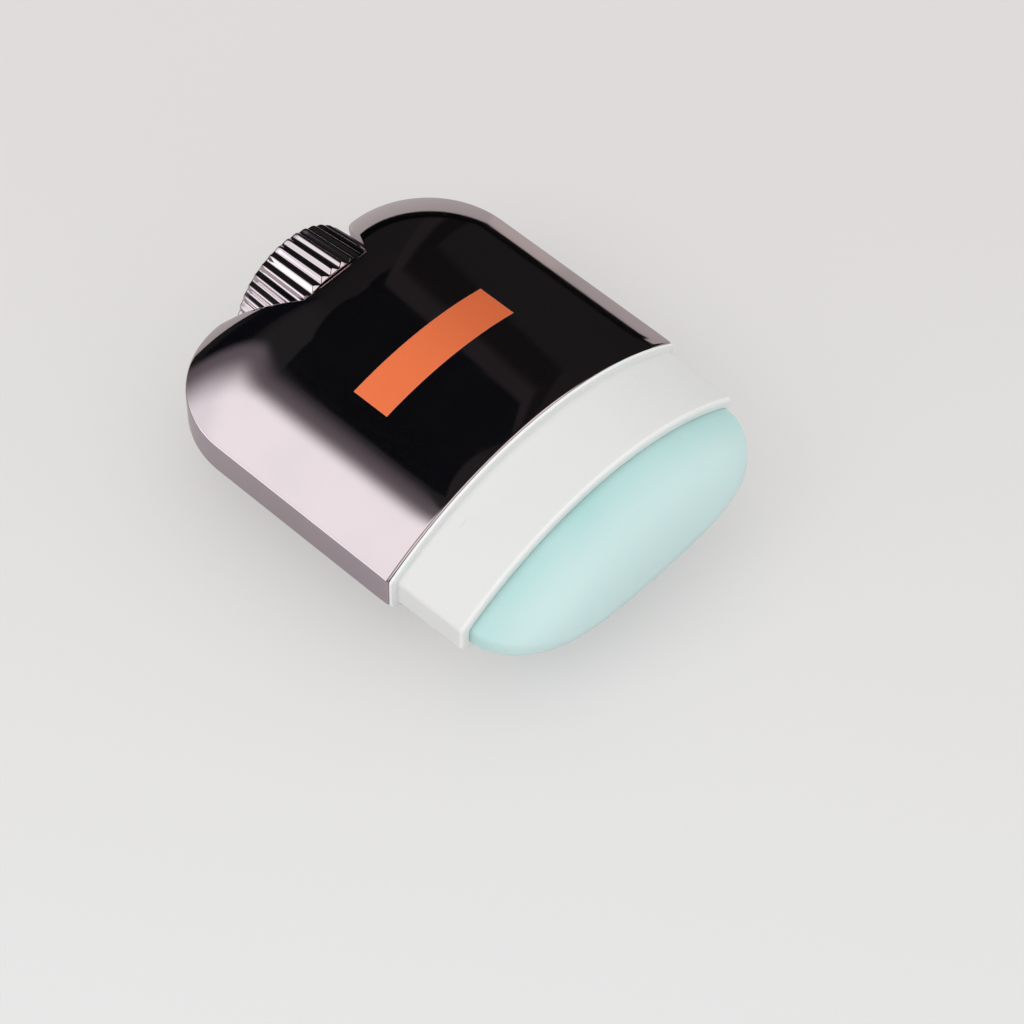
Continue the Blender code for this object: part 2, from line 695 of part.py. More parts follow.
def make_seal_and_clip(parent, seal_material, clip_material):
    """O-ring in the spindle's groove, and the spring clip that holds the spindle in the hub."""
    middle = (SEAL_START + SEAL_END) / 2
    circle = []
    for step in range(BEAD_SIDES):
        angle = 2 * pi * step / BEAD_SIDES
        circle.append(
            (
                middle + SEAL_CORD / 2 * cos(angle),
                SEAL_RING_RADIUS + SEAL_CORD / 2 * sin(angle),
            )
        )
    piece("spindle_o_ring", turned(circle, SMALL_SIDES), parent, seal_material)

    ring = tube(CLIP_START, CLIP_END, CLIP_BORE, CLIP_BORE + CLIP_WIDTH)
    clip = piece("spindle_clip", ring, parent, clip_material)
    mouth = block(
        (0, CLIP_START - OVERRUN, -CLIP_MOUTH / 2),
        (CLIP_BORE + CLIP_WIDTH + OVERRUN, CLIP_END + OVERRUN, CLIP_MOUTH / 2),
    )
    cut(clip, helper("clip_mouth_cutter", mouth, parent))


def make_bush_and_washer(parent, material):
    """Flanged bush pressed into the pocket's floor, and the washer that the knob bears on."""
    bush = turned(
        [
            (CASE_FLOOR_INSIDE, BUSH_BORE),
            (CASE_FLOOR_INSIDE, BUSH_RADIUS),
            (BUSH_FLANGE_START, BUSH_RADIUS),
            (BUSH_FLANGE_START, BUSH_FLANGE_RADIUS),
            (BUSH_FLANGE_END, BUSH_FLANGE_RADIUS),
            (BUSH_FLANGE_END, BUSH_BORE),
        ],
        ROUND_SIDES,
    )
    piece("knob_bush", bush, parent, material)
    washer = tube(WASHER_START, WASHER_END, BUSH_BORE, WASHER_RADIUS)
    piece("thrust_washer", washer, parent, material)


def make_knob_core(parent, material):
    """Moulded core: hub with a splined socket, web, ribs and a band that grips the shell."""
    hub = piece("knob_core", rod(CORE_START, CORE_END, CORE_HUB_RADIUS), parent, material)
    join(hub, helper("core_web", rod(CORE_END - CORE_WEB, CORE_END, CORE_RADIUS), parent))
    band = tube(
        CORE_END - CORE_WEB - CORE_BAND_LENGTH,
        CORE_END - CORE_WEB / 2,
        CORE_RADIUS - CORE_BAND,
        CORE_RADIUS,
    )
    join(hub, helper("core_band", band, parent))
    rib_start = CORE_END - CORE_WEB - CORE_BAND_LENGTH + RIB_THICKNESS
    for index in range(CORE_RIBS):
        rib = block(
            (CORE_HUB_RADIUS - RIB_THICKNESS / 2, rib_start, -RIB_THICKNESS / 2),
            (CORE_RADIUS - CORE_BAND / 2, CORE_END - CORE_WEB / 2, RIB_THICKNESS / 2),
        )
        rib.transform(Matrix.Rotation(2 * pi * index / CORE_RIBS, 4, "Y"))
        join(hub, helper(f"core_rib_{index}", rib, parent))
    socket = loft([spline_ring(y, SPLINE_SOCKET) for y in (CORE_START - OVERRUN, SOCKET_END)])
    cut(hub, helper("spline_socket_cutter", socket, parent))


def fluted_ring(y, radius, depth):
    """A loop round the knob whose flutes stand up to radius from depth below it."""
    ring = []
    count = FLUTES * len(FLUTE_SHARES)
    for index in range(count):
        angle = 2 * pi * index / count
        reach = radius - depth * (1 - FLUTE_SHARES[index % len(FLUTE_SHARES)])
        ring.append((reach * cos(angle), y, reach * sin(angle)))
    return ring


def make_knob_shell(parent, material):
    """Plated shell: tapered flutes, cut off by a chamfer at the pocket and rounded at the end."""
    taper = KNOB_DRAFT / (KNOB_END - KNOB_START)
    shoulder = KNOB_END - KNOB_FILLET
    flute_start = KNOB_START + FLUTE_CHAMFER
    rings = [
        fluted_ring(KNOB_START, KNOB_RADIUS - FLUTE_DEPTH, 0),
        fluted_ring(flute_start, KNOB_RADIUS - taper * FLUTE_CHAMFER, FLUTE_DEPTH),
    ]
    for step in range(EDGE_STEPS + 1):
        angle = pi / 2 * step / EDGE_STEPS
        rings.append(
            fluted_ring(
                shoulder + KNOB_FILLET * sin(angle),
                KNOB_END_RADIUS - KNOB_FILLET + KNOB_FILLET * cos(angle),
                FLUTE_DEPTH * cos(angle),
            )
        )
    shell = piece("knob_shell", loft(rings), parent, material)
    hollow = rod(KNOB_START - OVERRUN, KNOB_HOLLOW_END, KNOB_HOLLOW_RADIUS)
    cut(shell, helper("knob_hollow_cutter", hollow, parent))


def build():
    clear_scene()
    case_body = body_empty("case_body")
    knob_body = body_empty("knob_body")
    bar_body = body_empty("bar_body")

    plating = finish("rose_chrome_plating", (0.66, 0.60, 0.63), 0.06, 1.0)
    white = finish("white_satin_plastic", (0.86, 0.86, 0.84), 0.38)
    carrier_plastic = finish("carrier_plastic", (0.82, 0.83, 0.82), 0.45)
    acetal = finish("acetal", (0.78, 0.77, 0.72), 0.4)
    sunscreen = finish("mint_sunscreen", (0.55, 0.76, 0.73), 0.5)
    silicone = finish("silicone", (0.12, 0.12, 0.13), 0.6)
    spring_steel = finish("spring_steel", (0.55, 0.55, 0.56), 0.3, 1.0)

    make_outer_case(case_body, plating)
    make_inner_barrel(case_body, white)
    make_bush_and_washer(case_body, acetal)
    make_carrier(bar_body, carrier_plastic)
    make_sunscreen_bar(bar_body, sunscreen)
    make_lead_screw(knob_body, acetal)
    make_seal_and_clip(knob_body, silicone, spring_steel)
    make_knob_core(knob_body, white)
    make_knob_shell(knob_body, plating)


build()
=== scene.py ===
"""Twist-up sunscreen stick, lying on its back with its cap off.

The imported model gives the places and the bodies. The casing, the barrel, the bar and the knob's
shell are worked out here as fine surfaces; the inner pieces stay as packed, in better materials.
Lengths are in metres. A piece is drawn on the stick's own axes, with y = 0 at the casing's mouth
and the axis through the middle of its thickness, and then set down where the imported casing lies.
"""

import bmesh
import bpy
import numpy as np
from mathutils import Matrix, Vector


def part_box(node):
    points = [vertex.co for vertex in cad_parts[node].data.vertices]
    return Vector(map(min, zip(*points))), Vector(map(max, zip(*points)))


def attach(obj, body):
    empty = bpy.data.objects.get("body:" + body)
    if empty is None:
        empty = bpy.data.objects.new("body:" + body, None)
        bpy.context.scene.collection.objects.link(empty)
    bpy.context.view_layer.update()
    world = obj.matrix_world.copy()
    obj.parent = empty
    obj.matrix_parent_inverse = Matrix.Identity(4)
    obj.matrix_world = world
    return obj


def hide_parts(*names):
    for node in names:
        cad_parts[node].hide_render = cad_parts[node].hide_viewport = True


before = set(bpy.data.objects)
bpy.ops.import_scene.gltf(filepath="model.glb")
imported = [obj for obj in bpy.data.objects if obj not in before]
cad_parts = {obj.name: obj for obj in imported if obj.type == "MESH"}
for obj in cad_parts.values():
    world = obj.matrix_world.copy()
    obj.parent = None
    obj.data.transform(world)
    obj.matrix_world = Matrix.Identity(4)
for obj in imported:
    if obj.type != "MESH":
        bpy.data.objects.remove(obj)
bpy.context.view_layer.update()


# Outer casing
# A thin injection-moulded shell of ABS, vacuum plated to a rose-grey mirror. The lens-shaped
# crown runs round the arched end, where a round pocket takes the knob; the block is hot-stamped.
mm = 0.001
case_low, case_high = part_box("outer_case")
half_width = (case_high.x - case_low.x) / 2
half_thickness = (case_high.z - case_low.z) / 2
case_length = case_high.y - case_low.y
stick_origin = np.array([0, case_low.y, (case_high.z + case_low.z) / 2])

strip_half = 2.4 * mm
crown_sag = half_thickness - strip_half
crown_radius = (half_width**2 + crown_sag**2) / (2 * crown_sag)
crown_centre = half_thickness - crown_radius
corner_radius = 13.3 * mm
end_fall = 0.6
strip_fillet = 0.45 * mm
case_wall = 1.2 * mm
mouth_chamfer = 0.18 * mm
mouth_roll = 0.12 * mm
roll_length = 2.8 * mm
pocket_floor = case_length - 8.75 * mm
pocket_radius = 10.55 * mm
bush_hole = 4.3 * mm
notch_round = 0.2 * mm
lip_round = 1.35 * mm
lip_squeeze = 0.6 * mm
lip_starts = 5.2 * mm
strip_rows = 14
fillet_rows = 6


def quarter_section(inset, fillet, crown_share):
    """Quarter of the lens section drawn in by inset: rows of x and z from the strip's middle to the
    crest.

    The strip is straight, the crown is a circle round a centre below the axis, and the fillet is
    the circle that touches both; each is stepped by its own row of shares from 0 to 1.
    """
    strip_share = np.linspace(0, 1, strip_rows + 1)[:-1]
    fillet_share = np.linspace(0, 1, fillet_rows + 1)[:-1]
    radius = crown_radius - inset
    centre_x = min(half_width - inset - fillet, np.sqrt((radius - fillet) ** 2 - crown_centre**2))
    centre_z = crown_centre + np.sqrt((radius - fillet) ** 2 - centre_x**2)
    joint = np.arctan2(centre_z - crown_centre, centre_x)
    turn = joint * fillet_share
    angle = joint + (np.pi / 2 - joint) * crown_share
    strip_x = np.full(strip_rows, centre_x + fillet)
    crown_z = crown_centre + radius * np.sin(angle)
    x = [strip_x, centre_x + fillet * np.cos(turn), radius * np.cos(angle)]
    z = [centre_z * strip_share, centre_z + fillet * np.sin(turn), crown_z]
    return np.stack([np.concatenate(x), np.concatenate(z)], -1)


def ring_shape(width):
    """Where a level ring of this half-width ends, its corner radius, and where its side ends."""
    end = case_length - end_fall * (half_width - width)
    bend = np.maximum(corner_radius * width / half_width, 1e-9)
    return end, bend, end - bend


def ring_point(width, run):
    """The left half of a level ring at the distance run from the mouth: up the side, a quarter
    circle round the corner, then straight across the arched end. Gives x and y."""
    end, bend, side = ring_shape(width)
    turn = np.clip((run - side) / bend, 0, np.pi / 2)
    across = np.maximum(run - side - bend * np.pi / 2, 0)
    x = across - (width - bend) - bend * np.cos(turn)
    return x, np.where(run < side, run, side + bend * np.sin(turn))


def ring_cut(width, height, wall, floor):
    """The run at which a level ring meets the pocket: the later of passing the pocket's floor and
    passing inside its round wall. A ring that ends short of the pocket runs to the middle."""
    end, bend, side = ring_shape(width)
    by_floor = side + bend * np.arcsin(np.clip((floor - side) / bend, 0, 1))
    by_floor = np.where(floor < side, floor, by_floor)
    half = np.sqrt(np.maximum(wall**2 - height**2, 0))
    over = (half - (width - bend)) / bend
    by_wall = side + bend * np.arccos(np.clip(over, 0, 1))
    by_wall = np.where(over > 0, by_wall, side + bend * np.pi / 2 + width - bend - half)
    whole = side + bend * np.pi / 2 + width - bend
    return np.where(end > floor, np.minimum(np.maximum(by_floor, by_wall), whole), whole)


def notch_angles(wall, floor):
    """Crown angles of two level rings: the one through the notch's corner, and the one that just
    touches the pocket's floor. The corner is found by halving."""
    last = np.arccos((half_width - (case_length - floor) / end_fall) / crown_radius)
    low, high = np.arccos((half_width - strip_fillet) / crown_radius), last - 1e-6
    for _ in range(50):
        middle = (low + high) / 2
        width = crown_radius * np.cos(middle)
        height = crown_centre + crown_radius * np.sin(middle)
        end, bend, side = ring_shape(width)
        at_floor = (width - bend) + bend * np.sqrt(max(1 - ((floor - side) / bend) ** 2, 0))
        if at_floor**2 + height**2 > wall**2:
            low = middle
        else:
            high = middle
    return low, last


def smooth(value):
    """0 below 0, 1 above 1 and 3t² - 2t³ between."""
    value = np.clip(value, 0, 1)
    return value * value * (3 - 2 * value)


class Skin:
    """Sheets of points gathered into one closed mesh, welded where their edges meet."""

    def __init__(self):
        self.points, self.faces, self.count = [], [], 0

    def sheet(self, grid, looped=False):
        """A sheet of quads through a grid of points, rows by columns; looped joins its last column
        to its first."""
        rows, columns = grid.shape[:2]
        index = np.arange(rows * columns).reshape(rows, columns) + self.count
        if looped:
            index = np.concatenate([index, index[:, :1]], 1)
        quads = np.stack([index[:-1, :-1], index[1:, :-1], index[1:, 1:], index[:-1, 1:]], -1)
        self.points.append(grid.reshape(-1, 3))
        self.faces.append(quads.reshape(-1, 4))
        self.count += rows * columns

    def quartered(self, grid):
        """The same sheet in all four quarters, turned over in x and in z."""
        for side in (1, -1):
            for face in (1, -1):
                self.sheet(grid * [side, 1, face])


def dressed(name, skin, body, slot, material, *nodes):
    """Makes the welded mesh at its place, faces out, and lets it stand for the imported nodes."""
    mesh = bpy.data.meshes.new(name)
    mesh.from_pydata(np.concatenate(skin.points) + stick_origin, [], np.concatenate(skin.faces))
    bm = bmesh.new()
    bm.from_mesh(mesh)
    bmesh.ops.remove_doubles(bm, verts=bm.verts, dist=1.5e-6)
    bmesh.ops.dissolve_degenerate(bm, edges=bm.edges, dist=1e-7)
    edges = [edge for edge in bm.edges if edge.is_boundary]
    if edges:
        bmesh.ops.triangle_fill(bm, use_beauty=True, edges=edges)
    bmesh.ops.recalc_face_normals(bm, faces=bm.faces)
    bm.to_mesh(mesh)
    bm.free()
    mesh.shade_smooth()
    mesh.set_sharp_from_angle(angle=np.radians(33))
    mesh.materials.append(material)
    made = bpy.data.objects.new(name, mesh)
    bpy.context.scene.collection.objects.link(made)
    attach(made, body)
    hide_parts(*nodes)
    return made


class Wire:
    """A shader socket with arithmetic: an expression on it adds Math nodes to its tree."""

    def __init__(self, tree, socket):
        self.tree, self.socket = tree, socket

    def math(self, operation, *others):
        made = self.tree.node("ShaderNodeMath", {"operation": operation}, [self, *others])
        return Wire(self.tree, made.outputs[0])

    def __add__(self, other):
        return self.math("ADD", other)

    def __mul__(self, other):
        return self.math("MULTIPLY", other)

    def __sub__(self, other):
        return self.math("SUBTRACT", other)

    def __rsub__(self, other):
        return self.tree.value(other).math("SUBTRACT", self)

    def __truediv__(self, other):
        return self.math("DIVIDE", other)

    def __gt__(self, other):
        return self.math("GREATER_THAN", other)

    __radd__ = __add__
    __rmul__ = __mul__

    def step(self, start, end):
        """0 before start, 1 after end, an S between; start may lie above end."""
        ranged = self.tree.node(
            "ShaderNodeMapRange",
            {"interpolation_type": "SMOOTHSTEP"},
            {"Value": self, "From Min": start, "From Max": end},
        )
        return Wire(self.tree, ranged.outputs["Result"])


class Tree:
    """A material's or the world's nodes, each made by one call: type, settings, then sockets."""

    def __init__(self, owner):
        owner.use_nodes = True
        self.owner, self.nodes, self.links = owner, owner.node_tree.nodes, owner.node_tree.links

    def node(self, kind, settings=None, sockets=None):
        """A new node; sockets is a dict of values or wires by name, or a list of them in order."""
        made = self.nodes.new(kind)
        for key, value in (settings or {}).items():
            setattr(made, key, value)
        pairs = sockets.items() if isinstance(sockets, dict) else enumerate(sockets or [])
        for key, value in pairs:
            self.join(value, made.inputs[key])
        return made

    def join(self, value, socket):
        if isinstance(value, Wire):
            self.links.new(value.socket, socket)
        elif value is not None:
            socket.default_value = value

    def value(self, number):
        made = self.nodes.new("ShaderNodeValue")
        made.outputs[0].default_value = number
        return Wire(self, made.outputs[0])

    def place(self):
        """Object coordinates, whole and as x, y and z."""
        whole = Wire(self, self.node("ShaderNodeTexCoord").outputs["Object"])
        split = self.node("ShaderNodeSeparateXYZ", None, [whole])
        return whole, *(Wire(self, split.outputs[i]) for i in range(3))

    def noise(self, where, scale, detail=2.0, rough=0.5):
        made = self.node(
            "ShaderNodeTexNoise",
            None,
            {"Vector": where, "Scale": scale, "Detail": detail, "Roughness": rough},
        )
        return Wire(self, made.outputs["Fac"])

    def blend(self, factor, one, two):
        """From colour one to colour two."""
        made = self.node("ShaderNodeMix", {"data_type": "RGBA"}, {0: factor, 6: one, 7: two})
        return Wire(self, made.outputs[2])

    def bump(self, height, distance, strength=1.0):
        made = self.node(
            "ShaderNodeBump", None, {"Strength": strength, "Distance": distance, "Height": height}
        )
        return Wire(self, made.outputs["Normal"])

    def surface(self, **sockets):
        """Sets the Principled shader's sockets, underscores for spaces."""
        shader = self.nodes["Principled BSDF"]
        for key, value in sockets.items():
            self.join(value, shader.inputs[key.replace("_", " ")])


def finish(name):
    """A new material, as the tree of its nodes."""
    return Tree(bpy.data.materials.new(name))


def plate(tree, tint, deep):
    """Rose-grey plating: a faint cloud in its tint, and the haze of fine wiping marks."""
    whole, x, y, z = tree.place()
    cloud = tree.noise(whole, 90, 3)
    streaked = tree.node("ShaderNodeVectorMath", {"operation": "MULTIPLY"}, [whole, (1, 0.08, 1)])
    wiped = tree.noise(Wire(tree, streaked.outputs[0]), 2600, 2)
    colour = tree.blend(cloud.step(0.35, 0.7), tint, deep)
    rough = 0.045 + 0.02 * wiped.step(0.45, 0.75) + 0.015 * cloud
    swell = tree.noise(whole, 55, 1)
    return colour, rough, tree.bump(swell, 0.00002), (x, y, z)


plating = finish("rose_plating")
colour, rough, normal, (x, y, z) = plate(plating, (0.60, 0.52, 0.55, 1), (0.575, 0.50, 0.53, 1))
block_middle = (-0.15 * mm, 16.25 * mm + stick_origin[1])
block_reach = (11.0 * mm, 2.75 * mm)
ink_edge = 0.03 * mm
block = z > stick_origin[2]
for axis, middle, reach in zip((x, y), block_middle, block_reach):
    block *= (axis - middle).math("ABSOLUTE").step(reach + ink_edge, reach - ink_edge)
ink_speck = plating.noise(plating.place()[0], 3500, 2)
bright_ink = plating.blend(ink_speck, (0.98, 0.19, 0.055, 1), (1.0, 0.22, 0.07, 1))
# The ink darkens toward the block's right end: painted shade, not a change in the print.
ink_with_painted_shade = plating.blend(x.step(-6 * mm, 11 * mm), bright_ink, (0.80, 0.155, 0.045, 1))
plating.surface(
    Base_Color=plating.blend(block, colour, ink_with_painted_shade),
    Metallic=1 - block * 0.8,
    Roughness=rough + block * 0.42,
    Normal=normal,
)

corner_out, floor_out = notch_angles(pocket_radius + notch_round, pocket_floor - notch_round)
corner_in, floor_in = notch_angles(pocket_radius, pocket_floor)
joint_x, joint_z = quarter_section(0, strip_fillet, np.zeros(1))[-1]
joint = np.arctan2(joint_z - crown_centre, joint_x)
bands = [
    np.linspace(joint, corner_out, 52)[:-1],
    np.linspace(corner_out, floor_out, 17)[:-1],
    np.linspace(floor_out, np.pi / 2, 36),
]
crown_angle = np.concatenate(bands)
crown_share = (crown_angle - joint) / (np.pi / 2 - joint)
quarter = quarter_section(0, strip_fillet, crown_share)
corner_row = strip_rows + fillet_rows + len(bands[0])
floor_row = corner_row + len(bands[1])
width, height = quarter[:, 0], quarter[:, 1]

setback = notch_round + (lip_round - notch_round) * smooth(
    (lip_starts - height) / (lip_starts - strip_half)
)
stop = ring_cut(width, height, pocket_radius + setback, pocket_floor - notch_round)
ring_bend, side_end = ring_shape(width)[1:]
bend_end = side_end + ring_bend * np.pi / 2
stop[floor_row:] = bend_end[floor_row:]
side_part = 0.16
share = [np.linspace(0, side_part, 15)[:-1], np.linspace(side_part, 1, 150)]
share = np.concatenate(share)[:, None]
run = np.where(
    share < side_part,
    roll_length + (side_end - roll_length) * share / side_part,
    side_end + (stop - side_end) * (share - side_part) / (1 - side_part),
)
ring_x, ring_y = ring_point(width, run)
ring_z = np.broadcast_to(height, ring_x.shape)
casing = Skin()
casing.quartered(np.stack([ring_x, ring_y, ring_z], -1))

# Over the pocket's floor the rings run on straight to the middle
straight = slice(floor_row, None)
straight_share = np.linspace(0, 1, 13)[:, None]
run = bend_end[straight] + (width - ring_bend)[straight] * straight_share
over_x, over_y = ring_point(width[straight], run)
over_z = np.broadcast_to(height[straight], over_x.shape)
casing.quartered(np.stack([over_x, over_y, over_z], -1))

# Notch: the sharp edge that its round takes off, and where the round ends on the pocket's side
notch = slice(0, floor_row + 1)
rim_angle = np.where(
    crown_angle < corner_out,
    joint + (crown_angle - joint) * (corner_in - joint) / (corner_out - joint),
    corner_in + (crown_angle - corner_out) * (floor_in - corner_in) / (floor_out - corner_out),
)
rim_share = (rim_angle - joint) / (np.pi / 2 - joint)
rim_width, rim_height = quarter_section(0, strip_fillet, rim_share)[notch].T
rim_stop = ring_cut(rim_width, rim_height, pocket_radius, pocket_floor)
rim_bend, rim_side = ring_shape(rim_width[-1])[1:]
rim_stop[-1] = rim_side + rim_bend * np.pi / 2
rim_x, rim_y = ring_point(rim_width, rim_stop)
rim_y[corner_row:] = pocket_floor
rim_edge = np.stack([rim_x, rim_y, rim_height], -1)
crown_edge = np.stack([ring_x[-1], ring_y[-1], height], -1)[notch]

# Beside the pocket the round is deeper on the side strips, where it rolls over into the lip
corner_y = rim_y[: corner_row + 1]
corner_height = rim_height[: corner_row + 1]
slope_y = np.gradient(corner_y)
slope_z = np.gradient(corner_height)
steep = np.hypot(slope_y, slope_z)
near_end = smooth((lip_starts - corner_height) / (lip_starts - strip_half))
depth = setback[: corner_row + 1]
back_y = np.abs(slope_z) / steep * (1 - near_end) + near_end
back_z = np.abs(slope_y) / steep * (1 - near_end) + near_end * lip_squeeze / lip_round
back_y *= 1 - np.exp(-(corner_y - pocket_floor) / notch_round)
wall_y = corner_y - depth * back_y
wall_z = corner_height - depth * back_z
strip_top = rim_height[strip_rows]
wall_y[: strip_rows + 1] = case_length - lip_round
wall_z[: strip_rows + 1] = rim_height[: strip_rows + 1] * (1 - lip_squeeze / strip_top)
wall_z[corner_row] = rim_height[corner_row] - notch_round
wall_x = -np.sqrt(pocket_radius**2 - wall_z**2)
pull = wall_x[corner_row] / rim_x[corner_row]
floor_edge = rim_edge[corner_row + 1 :] * [pull, 1, 1] - [0, 0, notch_round]
inner_edge = np.concatenate([np.stack([wall_x, wall_y, wall_z], -1), floor_edge])
to_middle = (1 - straight_share[1:]) * [1, 0, 0] + [0, 1, 1]
crown_edge, rim_edge, inner_edge = (
    np.concatenate([edge, edge[-1] * to_middle]) for edge in (crown_edge, rim_edge, inner_edge)
)
t = np.linspace(0, 1, 8)[:, None, None]
casing.quartered((1 - t) ** 2 * crown_edge + 2 * t * (1 - t) * rim_edge + t**2 * inner_edge)

# The pocket's round wall from notch to notch, its floor round the bush hole, and the hole
wall_turn = np.arcsin(wall_z[strip_rows : corner_row + 1] / pocket_radius)[:, None]
wall_step = np.arcsin(wall_z[: strip_rows + 1] / pocket_radius)
wall_step = np.concatenate([-wall_step[::-1], wall_step[1:]]) / wall_step[-1]
turn = wall_turn * wall_step
rows_y = np.broadcast_to(wall_y[strip_rows:][:, None], turn.shape)
wall_sheet = np.stack([-pocket_radius * np.cos(turn), rows_y, pocket_radius * np.sin(turn)], -1)
casing.sheet(wall_sheet)
casing.sheet(wall_sheet * [-1, 1, 1])
front = inner_edge[corner_row:][::-1]
left = np.concatenate([front, wall_sheet[-1][::-1][1:-1], front[::-1] * [1, 1, -1]])
loop = np.concatenate([left, left[::-1][1:-1] * [-1, 1, 1]])


def to_circle(loop, radius, y):
    """The points of a circle round the axis that lie straight inward of a loop's points."""
    angle = np.arctan2(loop[:, 2], loop[:, 0])
    return np.stack([radius * np.cos(angle), np.full(len(loop), y), radius * np.sin(angle)], -1)


hole = to_circle(loop, bush_hole, pocket_floor)
fade = np.linspace(0, 1, 6)[:, None, None]
casing.sheet(loop * (1 - fade) + hole * fade, True)
casing.sheet(np.stack([hole, hole - [0, case_wall, 0]]), True)


def lens_loop(inset, y, fillet=strip_fillet, shares=crown_share):
    """The whole lens section drawn in by inset, as one loop at y."""
    part = quarter_section(inset, fillet, shares)
    x = np.concatenate([part[:, 0], -part[::-1, 0][1:], -part[1:, 0], part[::-1, 0][1:-1]])
    z = np.concatenate([part[:, 1], part[::-1, 1][1:], -part[1:, 1], -part[::-1, 1][1:-1]])
    return np.stack([x, np.full(len(x), y), z], -1)


# Mouth: the crown rolls down a little toward its chamfered edge and runs back as the inner wall,
# while the side strips keep the full width up to the chamfer
chamfer_steps = ((0.02 * mm, 0.12 * mm), (0.13 * mm, 0.02 * mm), (0.15 * mm, 0))
mouth = []
for y in np.linspace(roll_length, mouth_chamfer, 13):
    roll = mouth_roll * ((roll_length - y) / (roll_length - mouth_chamfer)) ** 2
    mouth.append(lens_loop(roll, y) * [half_width / (half_width - roll), 1, 1])
widened = [half_width / (half_width - mouth_roll), 1, 1]
for sunk, y in chamfer_steps:
    mouth.append(lens_loop(mouth_roll + sunk, y) * widened)
mouth += [lens_loop(case_wall, 0), lens_loop(case_wall, pocket_floor - case_wall)]
casing.sheet(np.stack(mouth), True)
dressed("casing_shell", casing, "case", "rose_chrome_plating", plating.owner, "outer_case")


# Inner barrel
# White satin polypropylene: the collar that the cap slides over, with a thin flange against the
# casing's mouth and four low click beads, and a lens bore behind it with the screw's hub.
collar_length = 11 * mm
collar_inset = 1.0 * mm
collar_draft = 0.1 * mm
flange_inset = 0.12 * mm
flange_gap = 0.1 * mm
flange_thickness = 0.42 * mm
barrel_inset = 1.5 * mm
barrel_fillet = 0.7 * mm
bore_inset = 2.35 * mm
bore_fillet = 0.6 * mm
rim_fillet = 0.6 * mm
hub_radius = 6.2 * mm
hub_bore = 4.3 * mm
hub_end = 30.85 * mm
barrel_depth = 27.2 * mm
barrel_floor = 26.0 * mm
bead_place = (15 * mm, 2.45 * mm)
bead_size = (1.7 * mm, 0.5 * mm, 0.5 * mm)
bead_sunk = 0.4 * mm
bead_band = 0.62 * mm
bead_above = 2 * mm
outside_until = 2 * mm
flange_back_round = 0.08 * mm
flange_round = 0.12 * mm
bore_round = 0.05 * mm


def rounded(corner, start, end, radius, steps=5):
    """Stations round a corner of a (y, inset) profile: a quadratic arc between the points that lie
    radius before it and radius after it."""
    corner, start, end = (np.array(point) for point in (corner, start, end))
    one = corner + (start - corner) / np.linalg.norm(start - corner) * radius
    two = corner + (end - corner) / np.linalg.norm(end - corner) * radius
    t = np.linspace(0, 1, steps)[:, None]
    return (1 - t) ** 2 * one + 2 * t * (1 - t) * corner + t**2 * two


flange_face = -flange_gap - flange_thickness
collar_shares = np.linspace(0, 1, 91)
profile = [
    (barrel_depth, barrel_inset),
    (-flange_gap, barrel_inset),
    *rounded((-flange_gap, flange_inset), (-flange_gap, 1), (-1, flange_inset), flange_back_round),
    *rounded((flange_face, flange_inset), (0, flange_inset), (flange_face, 1), flange_round),
    *rounded((flange_face, collar_inset), (flange_face, 0), (-1, collar_inset), flange_round),
]
bead_rows = -bead_place[1] + np.linspace(bead_band, -bead_band, 20)
plain_rows = np.linspace(-3.3 * mm, -10.2 * mm, 9)
for y in [*bead_rows, *plain_rows]:
    lean = (flange_face - y) / (collar_length + flange_face)
    profile.append((y, collar_inset + collar_draft * lean))
rim = collar_inset + collar_draft
profile += [
    *rounded((-collar_length, rim), (0, rim), (-collar_length, 1), rim_fillet, 8),
    *rounded((-collar_length, bore_inset), (-collar_length, 0), (0, bore_inset), bore_round),
    (barrel_floor, bore_inset),
]
profile = np.array(profile)
outside = profile[:, 1] < outside_until
shell = []
for (y, inset), fillet in zip(profile, np.where(outside, barrel_fillet, bore_fillet)):
    shell.append(lens_loop(inset, y, fillet, collar_shares))
shell = np.stack(shell)

# Click beads: low ellipsoids that stand out of the collar's crowns, most of each sunk into them
on_crown = np.abs(shell[..., 2]) > bead_above
crown_turn = np.arctan2(shell[..., 0], np.abs(shell[..., 2]) - crown_centre)
bead_turn = np.arcsin(bead_place[0] / (crown_radius - collar_inset))
reach_u = (np.abs(crown_turn) - bead_turn) * (crown_radius - collar_inset) / bead_size[0]
reach_v = (shell[..., 1] + bead_place[1]) / bead_size[1]
rise = bead_size[2] * np.sqrt(np.maximum(1 - reach_u**2 - reach_v**2, 0)) - bead_sunk
rise = np.maximum(rise, 0) * on_crown * (shell[..., 1] < 0) * outside[:, None]
outward_z = np.cos(crown_turn) * np.sign(shell[..., 2])
outward = np.stack([np.sin(crown_turn), 0 * crown_turn, outward_z], -1)
shell = shell + outward * rise[..., None]
hub = [
    to_circle(shell[-1], hub_bore, barrel_floor),
    to_circle(shell[-1], hub_bore, hub_end),
    to_circle(shell[-1], hub_radius, hub_end),
    to_circle(shell[-1], hub_radius, barrel_depth),
    shell[0],
]
barrel = Skin()
barrel.sheet(np.concatenate([shell, np.stack(hub)]), True)

